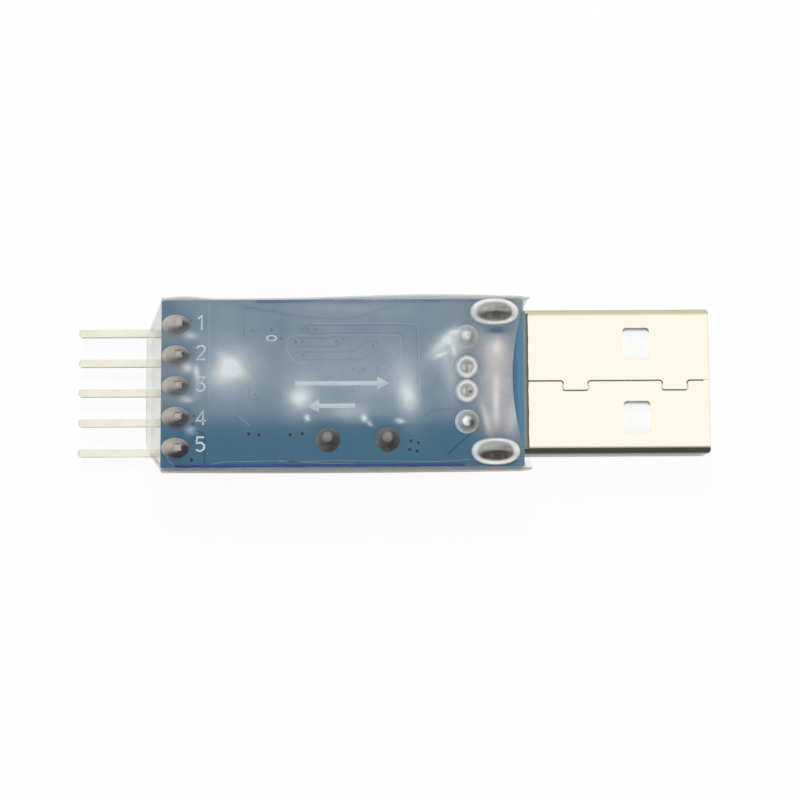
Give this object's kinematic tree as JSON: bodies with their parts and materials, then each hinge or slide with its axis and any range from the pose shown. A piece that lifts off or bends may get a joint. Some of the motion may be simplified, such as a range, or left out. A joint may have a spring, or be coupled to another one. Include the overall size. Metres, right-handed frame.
{
  "type": "usb to serial adapter module",
  "caption": "Small blue circuit board in a clear shrink sleeve, with a flat USB-A plug at one end and bent header pins at the other, solder side up.",
  "frame": {"origin": "under the middle of the module, on the surface that it lies on", "axes": "+X out of the USB plug, +Y across the board, +Z out of the board's solder side"},
  "size_m": [0.0528, 0.0146, 0.008],
  "materials": {
    "solder_mask": "glossy blue solder mask on glass-epoxy board",
    "plated_shell": "bright nickel-plated steel sheet",
    "insulator_white": "white moulded plastic",
    "header_black": "black moulded plastic",
    "crystal_steel": "drawn nickel-plated steel",
    "chip_epoxy": "matt black moulding compound",
    "lead_tin": "dull tin plating",
    "contact_gold": "flash gold plating",
    "pin_plating": "bright tin plating",
    "solder": "bright solder",
    "resistor_film": "black glaze between tinned ends",
    "capacitor_ceramic": "tan ceramic between tinned ends",
    "light_lens": "clear lens on a white base",
    "clear_film": "clear shrink film"
  },
  "bodies": {
    "root": {"bridge_chip_body": "chip_epoxy", "bridge_chip_leads": "lead_tin", "circuit_board": "solder_mask", "crystal_base": "crystal_steel", "crystal_can": "crystal_steel", "crystal_joints": "solder", "crystal_leads": "crystal_steel", "header_block": "header_black", "header_joints": "solder", "header_pin_1": "pin_plating", "header_pin_2": "pin_plating", "header_pin_3": "pin_plating", "header_pin_4": "pin_plating", "header_pin_5": "pin_plating", "load_capacitor_1": "capacitor_ceramic", "load_capacitor_2": "capacitor_ceramic", "output_capacitor": "capacitor_ceramic", "power_light": "light_lens", "power_light_resistor": "resistor_film", "pull_up_resistor": "resistor_film", "receive_light": "light_lens", "receive_light_resistor": "resistor_film", "series_resistor_minus": "resistor_film", "series_resistor_plus": "resistor_film", "shell_joints": "solder", "shrink_sleeve": "clear_film", "small_part_joints": "solder", "supply_capacitor": "capacitor_ceramic", "transmit_light": "light_lens", "transmit_light_resistor": "resistor_film", "usb_contact_1": "contact_gold", "usb_contact_2": "contact_gold", "usb_contact_3": "contact_gold", "usb_contact_4": "contact_gold", "usb_insulator": "insulator_white", "usb_joints": "solder", "usb_shell": "plated_shell"}
  },
  "joints": []
}
